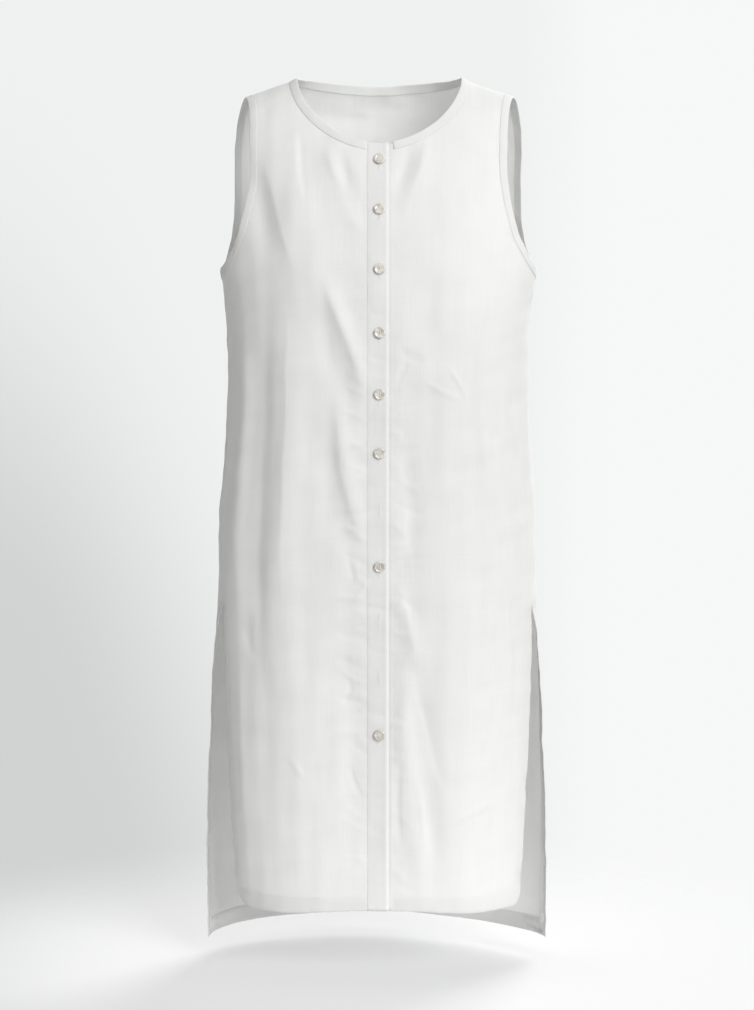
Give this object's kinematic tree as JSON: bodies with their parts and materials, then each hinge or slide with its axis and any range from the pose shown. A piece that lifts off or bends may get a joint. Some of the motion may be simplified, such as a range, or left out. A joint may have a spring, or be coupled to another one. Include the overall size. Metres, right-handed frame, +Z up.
{
  "type": "sleeveless long shirt",
  "caption": "Sleeveless white long shirt in worn form, round bound neck, button front, side vents and a longer back.",
  "frame": {"origin": "midway between the two neck points of the shoulders, where the wearer carries the shirt", "axes": "+Z up, -Y towards the front with its buttons, +X to the wearer's left"},
  "size_m": [0.4296, 0.2745, 1.0797],
  "materials": {
    "white_cloth": "fine plain weave, matt, slightly translucent",
    "placket_cloth": "two layers of the same cloth, matt",
    "binding_cloth": "bias strip of the same cloth, matt",
    "shell": "polished shell with a pearly sheen"
  },
  "bodies": {
    "root": {"back": "white_cloth", "front_right": "white_cloth", "front_left": "white_cloth", "placket_upper": "placket_cloth", "placket_under": "placket_cloth", "neck_binding": "binding_cloth", "armhole_binding_right": "binding_cloth", "armhole_binding_left": "binding_cloth", "button_1": "shell", "button_2": "shell", "button_3": "shell", "button_4": "shell", "button_5": "shell", "button_6": "shell", "button_7": "shell", "button_8": "shell"}
  },
  "joints": []
}
